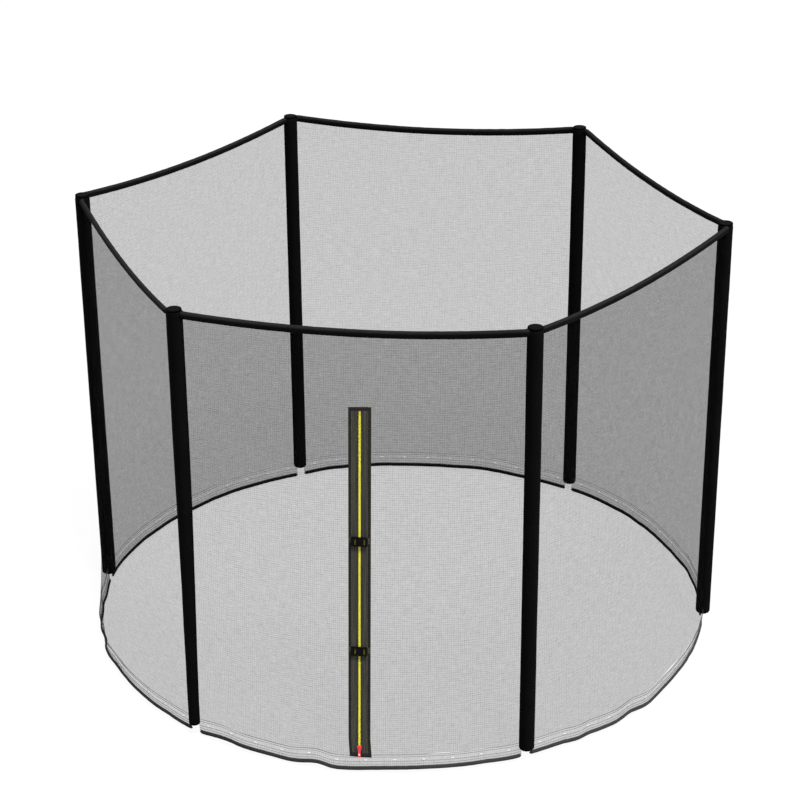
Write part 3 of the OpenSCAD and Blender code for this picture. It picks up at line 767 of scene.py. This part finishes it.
def door_line(x):
    head_z = rim_point(1, 0.5 + x / rim_chord).z - rim_r + 2.5
    return (Vector((x, -wall_r, band_top)), Vector((x, -wall_r + (head_z - band_top) * tan(lean), head_z)))


def door_share(x):
    return degrees(asin(x / wall_r)) / 60 + 0.5


def spread(first, last, count):
    """Upright lines between two such lines, both among them."""
    return [(first[0].lerp(last[0], t), first[1].lerp(last[1], t)) for t in steps(0, 1, count)]


def shortened(row, at_start, outside):
    """A row of points, cut back from its start or its end to where outside(point) passes 0."""
    points = row if at_start else row[::-1]
    for k in range(len(points) - 1):
        near, far = outside(points[k]), outside(points[k + 1])
        if near <= 0 < far:
            points = [points[k].lerp(points[k + 1], near / (near - far))] + points[k + 1:]
            break
    return points if at_start else points[::-1]


def trimmed(row, i, z, at_start):
    """A row of points, shortened to where it meets pole i's sleeve."""
    centre, r = pole_centre(i, z), sleeve_radius(i, max(z, 12)) - 0.8
    return shortened(row, at_start, lambda point: (point - centre).xy.length - r)


def beside_zip(row, left):
    """A row of points, ended at the slit behind the zip below the strip's head."""
    side = -1 if left else 1
    return shortened(row, not left, lambda point: side * (point.x - door_x) - slit_half)


def evenly(row, count):
    """A row of points made again with even steps between them."""
    walked = distances(row)
    return [at_distance(row, walked, distance)[0] for distance in steps(0, walked[-1], count)]


def net_piece(name, i, lines, poles, replaces, columns):
    """A sheet of net over its lines, trimmed to its sleeves and hung with slight folds."""
    grid = []
    shares = [(r / net_rows) ** 1.15 for r in range(net_rows + 1)]
    if i == 1:
        foot, head = door_line(door_x)
        shares += [(z - foot.z) / (head.z - foot.z) for z in (slit_top - 2, slit_top + 2)]
        shares.sort()
    for share in shares:
        row = [foot.lerp(head, share) for foot, head in lines]
        z = row[0].z
        if i == 1 and row[-1 if poles[0][1] else 0].z < slit_top:
            row = beside_zip(row, poles[0][1])
        for pole, at_start in poles:
            row = trimmed(row, pole, z, at_start)
        grid.append(evenly(row, columns))
    seed = 3.7 * i
    for row in grid:
        for c, point in enumerate(row):
            height = point.z
            hang = 1 - ease(height, band_top, 240)
            edge = min(ease(c if at_start else columns - c, 0, 5) for _, at_start in poles)
            clear = edge * (ease(abs(point.x - door_x), 48, 150) if i == 1 else 1.0)
            rim_near = ease(rim_z - height, 20, 260)
            folds = lumps(point.x * 0.011, point.y * 0.011, height * 0.0018 + seed)
            pulls = lumps(point.x * 0.004, point.y * 0.004, height * 0.004 + seed)
            puff = (folds * 3.6 + pulls * 5.0) * clear * rim_near
            if i == 6:
                puff -= 7 * bell(c, 9, 8) * ease(height, 30, 80) * (1 - ease(height, 250, 700))
            point = waved(point, hang)
            row[c] = point + outward(point) * puff
    piece = Cloth().add(grid, closed=False).make(name, "net", "net", replaces)


for i in SPANS[1:]:
    net_piece(f"net_{i}", i, [net_line(i, t) for t in steps(0, 1, 60)], [(i, True), (i % 6 + 1, False)],
              f"net_panel_{i}", 64)

half_door = door_w / 2 + 2
side = door_x - half_door
lines = [net_line(1, t) for t in steps(0, door_share(side - door_w / 2), 40)]
lines += spread(lines[-1], door_line(side), 3)[1:] + spread(door_line(side), door_line(door_x), 3)[1:]
net_piece("net_left", 1, lines, [(1, True)], "net_door_left", 40)
side = door_x + half_door
after = [net_line(1, t) for t in steps(door_share(side + door_w / 2), 1, 40)]
lines = spread(door_line(door_x), door_line(side), 3) + spread(door_line(side), after[0], 3)[1:]
net_piece("net_right", 1, lines + after[1:], [(2, False)], "net_door_right", 40)


def hem_ends(i):
    """The angles a hem runs between. At the drawn-in pole one ends nearer and one further off."""
    gap = hem_gap / 2 / hem_r
    return (pole_angle(i) + gap - (5 / hem_r if i == 1 else 0),
            pole_angle(i) + radians(60) - gap - (11 / hem_r if i == 6 else 0))


def band_point(angle, z):
    share = (z - band_low) / (band_top - band_low)
    return waved(on_circle(hem_r + 1 + (wall_r - hem_r - 1) * share, angle, z))


def slot_angles(i):
    return [pole_angle(i) + (slot_start + k * slot_pitch) / hem_r for k in range(slot_count)]


band_rows = [band_low - 1, -16, -8, 0, slot_z - slot_h / 2, slot_z, slot_z + slot_h / 2, 15, 23, band_top]
for i in SPANS:
    low, high = hem_ends(i)
    marks, holes = [low], []
    half = slot_w / 2 / hem_r
    for middle in slot_angles(i):
        marks += steps(marks[-1], middle - half, 8)[1:-1]
        holes.append(len(marks))
        marks += steps(middle - half, middle + half, slot_steps)
    marks += steps(marks[-1], high, 5)[1:]
    rows = []
    for z in band_rows:
        row = []
        for c, angle in enumerate(marks):
            point_z = z
            for h in holes:
                if h <= c <= h + slot_steps and abs(z - slot_z) == slot_h / 2:
                    round_end = max(0.0, abs(c - h - slot_steps / 2) - slot_flat) / slot_round
                    point_z = slot_z + (z - slot_z) * sqrt(max(0.0, 1 - round_end ** 2))
            row.append(band_point(angle, point_z))
        rows.append(row)
    band = Cloth().add(rows, closed=False,
                       hole=lambda r, c: r in (4, 5) and any(h <= c < h + slot_steps for h in holes))
    piece = band.make(f"band_{i}", "band", "band_fabric", f"hem_band_{i}")

    sewing = Cloth()
    for z in (29, 20, 0, -11):
        inset = 0.006 if z > 0 else 0
        path = [band_point(a, z) for a in steps(low, high, 240) if low + inset <= a <= high - inset]
        for up in (outward, lambda point: -outward(point)):
            sewing.sew(path, 4.4, 1.2, 0.6, up, 0.15)
    sewing.make(f"hem_stitches_{i}", "grey_thread", "hem_fabric")

    whipping = Cloth()
    flat, half_round = (slot_w - slot_h) / 2, slot_h / 2 + 0.5
    for middle in slot_angles(i):
        path = []
        for turn in steps(0, 2 * pi, 28):
            x = max(-flat, min(flat, cos(turn) * (flat + 3))) + cos(turn) * half_round
            path.append(band_point(middle + x / hem_r, slot_z + sin(turn) * half_round))
        whipping.add(swept(path, lambda k, share: circle(0.4 + 0.1 * sin(k * 2.2), 6), up=outward(path[0])))
    whipping.make(f"slot_binding_{i}", "grey_thread", "hem_fabric")

for i in SPANS:
    path = [waved(on_circle(hem_r, angle, hem_z)) for angle in steps(*hem_ends(i), hem_steps)]

    def hem_ring(k, share):
        from_end = min(k, hem_steps - k) * hem_step
        swell = sqrt(1 - max(0.0, 1 - from_end / (hem_d / 2)) ** 2)
        ring = []
        for a in around(hem_sides):
            soft = lumps(cos(a), sin(a), share * 60 + 5 * i)
            pucker = sin(share * 900 + i) * bell(a, pi / 2, 0.9)
            tuck = 1.6 * bell(a, pi / 2, 0.28)
            size = (hem_d / 2 - 0.1 + soft * 0.5 + pucker * 0.25 + tuck) * max(swell, 0.25)
            ring.append((hem_flatness * size * cos(a), size * sin(a)))
        return ring

    hem = Cloth().add(swept(path, hem_ring), ends=True)
    hem.make(f"hem_{i}", "hem", "hem_fabric", "hem_cords" if i == 1 else None)

# ---- the door: strip, binding, zip, straps

door_up = Vector((0, sin(lean), cos(lean)))
door_out = Vector((0, -cos(lean), sin(lean)))


def at_door(x, s, n):
    """A point across the door, up it and out from the net's middle."""
    return Vector((door_x + x, door_y, door_z)) + door_up * s + door_out * n


def flare(x, s):
    """The strip's lower end is pulled a little to the right."""
    pull = (1 - ease(s, -10, 85)) * ease(abs(x), 8, 36)
    return x + pull * (5.0 if x > 0 else 4.2)


def tilt(x, s):
    """The strip's head hangs a little higher on its right."""
    return s + 0.055 * x * ease(s, 1150, door_len)


def on_strip(x, s, n):
    return at_door(flare(x, s), tilt(x, s), n)


def strip_wave(x, s):
    return 0.0 if abs(x) > 36 else 0.22 * lumps(x * 0.05, s * 0.012, 2.0) * ease(abs(x), 6, 14)


columns = [-38.6, -37.9, -34, -30, -26, -21, -16, -11, -8, -window_half - 0.5, -window_half,
           window_half, window_half + 0.5, 8, 11, 16, 21, 26, 30, 34, 37.9, 38.6]
heights = [0.6, 5, 11, *steps(binding_foot, window_top, 110), window_top + 6, door_len - 0.6]
window_rows, window_left = range(3, 114), columns.index(-window_half)


def strip_face(n_at):
    """Rows of points up the strip, with the window drawn in at its head."""
    def narrowed(x, s):
        close = ease(s, window_top - 38, window_top + 6)
        return x * (1 - 0.3 * close) if abs(x) < window_half + 0.6 else x

    return [[at_door(flare(narrowed(x, s), s), tilt(x, s), n_at(x, s)) for x in columns] for s in heights]


def window(r, c):
    return c == window_left and r in window_rows[:-1]


front = strip_face(lambda x, s: strip_front - 0.05 + strip_wave(x, s) - 0.5 * bell(abs(x), window_half, 0.5))
back = strip_face(lambda x, s: strip_back + 0.1 + strip_wave(x, s))
strip = Cloth()
strip.add(front, closed=False, across=columns, hole=window)
strip.add([row[::-1] for row in back], closed=False, across=[-x for x in reversed(columns)],
          hole=lambda r, c: window(r, len(columns) - 2 - c))
all_rows, all_columns, window_sides = range(len(heights)), range(len(columns)), (window_left, window_left + 1)
strip_edges = (
    (all_rows, [0], False), (all_rows, [-1], True), ([0], all_columns, False), ([-1], all_columns, True),
    (window_rows, window_sides[:1], True), (window_rows, window_sides[1:], False),
    (window_rows[:1], window_sides, True), (window_rows[-1:], window_sides, False))
for rows, places, flip in strip_edges:
    pairs = [(front[r][c], back[r][c]) for r in rows for c in places]
    strip.add([[a, b] if flip else [b, a] for a, b in pairs], closed=False)
piece = strip.make("strip", "strip", "strip_fabric", "door_strip")
welder = bmesh.new()
welder.from_mesh(piece.data)
bmesh.ops.remove_doubles(welder, verts=welder.verts, dist=1e-6)
bmesh.ops.recalc_face_normals(welder, faces=welder.faces)
welder.to_mesh(piece.data)
welder.free()
sharpen(piece, 40)

inner, outer = door_w / 2 - binding_w, door_w / 2 + 0.9
edge_section = [(inner, 2.85), (inner + 0.1, 3.7), (inner + 0.9, 4.0), ((inner + outer) / 2, 4.12),
                (outer - 1.1, 3.98), (outer - 0.2, 3.4), (outer, 2.3), (outer - 0.25, 1.25),
                (outer - 0.7, 1.02), (outer - 0.85, 1.4), (outer - 0.85, 2.85)]
binding = Cloth()


def mirrored(section, side):
    """A section as it is, or turned over to the left."""
    return [(side * x, n) for x, n in section][::side]


def ripple(s, seed):
    return 0.07 * sin(s * 0.9 + seed) + 0.12 * wander(s, seed, 9)


for side in (1, -1):
    binding.add([[on_strip(x, s, n + (ripple(s, side) if n > 3 else 0))
                  for x, n in mirrored(edge_section, side)]
                 for s in steps(0.2, door_len - 0.2, 200)], ends=True)
for foot, low, high in ((True, -0.4, binding_foot), (False, window_top, door_len + 0.4)):
    flat = [(low, 1.3), (low + 0.1, 3.3), (low + 0.9, 3.95), ((low + high) / 2, 4.05), (high - 0.8, 3.95),
            (high - 0.1, 3.5), (high, 2.85), (low + 0.8, 2.85), (low + 0.8, 1.2)]
    if not foot:
        flat = [(low + high - a, n) for a, n in flat][::-1]
    binding.add([[on_strip(x, a, n) for a, n in flat] for x in steps(0.05 - inner, inner - 0.05, 24)],
                ends=True)
piece = binding.make("edge_binding", "binding", "binding_fabric", "door_binding")
sharpen(piece, 60)


def door_stitches(name, lines, finish, length, gap, r):
    sewing = Cloth()
    for points, lift in lines:
        sewing.sew(points, length, gap, r, lambda point: door_out, lift)
    sewing.make(name, finish, "binding_fabric")


def upright(x, n, low=2, high=door_len - 2):
    return [on_strip(x, s, n) for s in steps(low, high, 90)]


def level(s, n):
    return [on_strip(x, s, n) for x in steps(2 - inner, inner - 2, 4)]


beside_window = 19, window_top - 2
door_stitches("mustard_stitches", [(upright(x, strip_front, *beside_window), 0.1) for x in (-28.2, 28.2)],
              "mustard_thread", 3.6, 0.9, 0.5)
door_stitches("binding_stitches",
              [(upright(x, binding_front + 0.05), 0.05) for x in (-31.2, 31.2, -36.4, 36.4)]
              + [(level(s, binding_front), 0.05) for s in (3.5, 13.6, window_top + 3, door_len - 3)],
              "dark_thread", 3.4, 1.0, 0.42)
door_stitches("zip_stitches", [(upright(x, strip_front - 0.05, *beside_window), 0.05)
                               for x in (-8.2, 8.2, -13.8, 13.8)], "dark_thread", 3.0, 0.9, 0.36)

# zip tapes, each with a folded edge inside its row of teeth
tape = Cloth()
zip_foot = (band_top - door_z) / cos(lean) + 1
tape_section = [(0.15, -1.28), (3.2, -1.28), (4.3, -0.2), (14.8, -0.2), (15, 0.0), (15, 0.85), (14.8, 0.98),
                (4.0, 0.98), (3.4, 0.0), (2.8, -0.85), (0.15, -0.9)]
for side in (1, -1):
    tape.add([[at_door(x, s, n) for x, n in mirrored(tape_section, side)]
              for s in steps(zip_foot, window_top - 0.2, 160)], ends=True)
piece = tape.make("zip_tape", "tape", "zip_tape", "zip_tapes")
sharpen(piece, 40)

# nylon coils: one flattened helix a side, sewn round the tape's edge
teeth_foot, teeth_head, tooth_pitch = binding_foot + 3.2, window_top - 3, 2.1
coil = Cloth()
turns = int((teeth_head - teeth_foot) / tooth_pitch)
for side in (1, -1):
    rings = []
    for k, s in enumerate(steps(teeth_foot + 0.5, teeth_head - 0.5, turns * 10)):
        turn = 2 * pi * k / 10 + (0 if side > 0 else pi)
        x, n = side * (1.95 - 1.67 * cos(turn)), 0.8 + 0.6 * sin(turn)
        rings.append([at_door(x - side * 0.5 * cos(a) * cos(turn), s + 0.85 * sin(a),
                              n + 0.5 * cos(a) * sin(turn))
                      for a in (side * angle for angle in around(5))])
    coil.add(rings, ends=True)
coil.make("zip_teeth", "coil", "zip_teeth", "zip_coil")


def strap(half, where, side, near):
    """Webbing from the strip's edge, round the bar of half a buckle and back.

    The bar runs from near to far across the door and from low to high out from it.
    """
    far, low, high, width = 26.5, 11.4, 13.6, 12.6
    path = [(38.0, 4.65), (34.5, 4.7), (31.2, 4.85), (29.6, 6.0), (28.3, 8.6), (far + 0.75, 10.9),
            (far + 0.7, 12.5), (far + 0.55, high + 0.45), (far - 0.2, high + 0.66),
            ((near + far) / 2, high + 0.72), (near + 0.2, high + 0.66), (near - 0.5, high + 0.4),
            (near - 0.65, 12.5), (near - 0.5, low - 0.3), (near + 0.3, low - 0.62),
            ((near + far) / 2, low - 0.64), (far - 1.6, low - 0.64)]
    fine = []
    for k in range(len(path) - 1):
        p = [Vector((*path[min(max(k + d, 0), len(path) - 1)], 0)) for d in (-1, 0, 1, 2)]
        for t in (0, 0.25, 0.5, 0.75):
            fine.append(0.5 * (2 * p[1] + (p[2] - p[0]) * t + (2 * p[0] - 5 * p[1] + 4 * p[2] - p[3]) * t * t
                               + (3 * p[1] - p[0] - 3 * p[2] + p[3]) * t ** 3))
    fine.append(Vector((*path[-1], 0)))
    edge = [(-width, -0.3), (-width + 0.3, -0.5), (-6, -0.55), (0, -0.55), (6, -0.55), (width - 0.3, -0.5),
            (width, -0.3)]
    section = edge + [(-a, -b) for a, b in edge]
    rings = []
    for k, point in enumerate(fine):
        ahead = (fine[min(k + 1, len(fine) - 1)] - fine[max(k - 1, 0)]).normalized()
        square = Vector((-ahead.y, ahead.x, 0))
        rings.append([at_door(side * (point.x + square.x * b), buckle_heights[where] + a,
                              point.y + square.y * b) for a, b in section[::side]])
    piece = Cloth().add(rings, ends=True).make(f"{half}_strap_{where}", f"{half}_webbing", "webbing",
                                               f"buckle_strap_{where}", body=None)
    sharpen(piece, 50)
    return piece


for where, s in buckle_heights.items():
    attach(strap("socket", where, -1, 12.5), "enclosure")
    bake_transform(strap("plug", where, 1, 16.7), "enclosure", f"{where}_plug",
             start=at_door(31.0, s, 4.9) * MM, end=at_door(27.6, s, 10.4) * MM)
    box_rows = []
    for side in (1, -1):
        for a, b in (((31.5, -10), (31.5, 10)), ((37, -10), (37, 10)), ((31.5, -10), (37, 10)),
                     ((31.5, 10), (37, -10))):
            points = zip(steps(a[0], b[0], 6), steps(a[1], b[1], 6))
            box_rows.append(([at_door(side * x, s + z, 5.3) for x, z in points], 0.05))
    door_stitches(f"strap_stitches_{where}", box_rows, "mustard_thread", 2.4, 0.7, 0.35)

# grip bars on the pull tab
grip = Cloth()
for k in range(5):
    path = [at_door(x, 8 + 1.6 * k, 8.4) for x in steps(-3.3, 3.3, 8)]
    grip.add(swept(path, lambda j, share: circle(0.55 * sqrt(max(0.15, 1 - (2 * share - 1) ** 6)), 8),
                   up=door_out), ends=True)
grip.make("pull_grip", "grip", "pull_plastic", body="pull")

# ---- finishes of the nodes that stay

BUCKLES = [f"buckle_{half}_{where}" for half in ("socket", "plug") for where in buckle_heights]
KEPT = {"pole_caps": "cap", "tube_screws": "screw", "zip_stops": "stop", "zip_slider": "slider",
        "pull_tab": "pull", **dict.fromkeys(BUCKLES, "buckle")}
KEPT |= {f"pole_tube_{part}_{i}": "steel" for part in ("lower", "upper") for i in SPANS}
for name, finish in KEPT.items():
    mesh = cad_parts[name].data
    mesh.materials.clear()
    mesh.materials.append(FINISHES[finish])
for name, width in {"zip_slider": 0.00035, "pull_tab": 0.0004, "zip_stops": 0.0004,
                    **dict.fromkeys(BUCKLES, 0.0006)}.items():
    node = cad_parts[name]
    weld = node.modifiers.new("join", "WELD")
    weld.merge_threshold = 1e-6
    bevel = node.modifiers.new("soft_edges", "BEVEL")
    bevel.width, bevel.segments, bevel.limit_method = width, 3, "ANGLE"
    bevel.angle_limit = radians(35)
    bevel.harden_normals = True

# ---- floor, light, camera

floor_mesh = mesh_of("floor", [on_circle(60, a, -0.058) for a in around(96)], [tuple(range(96))], unit=1)
placed("floor", floor_mesh)
paper = Finish("floor_paper", Roughness=0.95, Specular_IOR_Level=0.0)
seen = paper.shown()
paper.feed(Base_Color=paper.blend(seen, (0.3, 0.3, 0.3), (0.86, 0.86, 0.86)))
glow = paper.node("ShaderNodeEmission", {}, {"Color": (1, 1, 1), "Strength": 1.03})
mixed = paper.node("ShaderNodeMixShader", {},
                   {0: seen * 0.9, 1: Wire(paper, paper.shader.outputs[0]), 2: glow})
paper.join(paper.tree.nodes["Material Output"].inputs["Surface"], mixed)
floor_mesh.materials.append(paper.material)

world = bpy.data.worlds.new("studio")
bpy.context.scene.world = world
world.use_nodes = True
backdrop = world.node_tree.nodes["Background"]
sky = Graph(world.node_tree)
sky.join(backdrop.inputs["Color"], (1, 1, 1))
sky.join(backdrop.inputs["Strength"],
         sky.node("ShaderNodeMapRange", {}, {"Value": sky.shown(), "To Min": 0.25, "To Max": 1.0}))


def lamp(name, towards, power, softness):
    """A far, soft light from a direction."""
    light = bpy.data.lights.new(name, "SUN")
    light.energy, light.angle = power, radians(softness)
    placed(name, light).rotation_euler = Vector(towards).to_track_quat("Z", "Y").to_euler()


lamp("key", (0.22, -0.44, 0.87), 2.8, 14)
lamp("side", (0.92, -0.28, 0.28), 2.1, 30)

camera_data = bpy.data.cameras.new("camera")
camera = bpy.context.scene.camera = placed("camera", camera_data)
camera_data.lens, camera_data.sensor_width = 36 * 2217.93 / 800, 36
camera_data.clip_start, camera_data.clip_end = 0.1, 200
ahead = Vector((-0.1305, 0.8956, -0.4251)).normalized()
right = ahead.cross(Vector((0, 0, 1))).normalized()
up = right.cross(ahead)
right, up = right - 0.0068 * up, up + 0.0068 * right
turn = Matrix((right.normalized(), up.normalized(), -ahead)).transposed()
camera.matrix_world = Matrix.Translation((1.1339, -7.7582, 4.5393)) @ turn.to_4x4()
bpy.context.scene.view_settings.view_transform = "Standard"
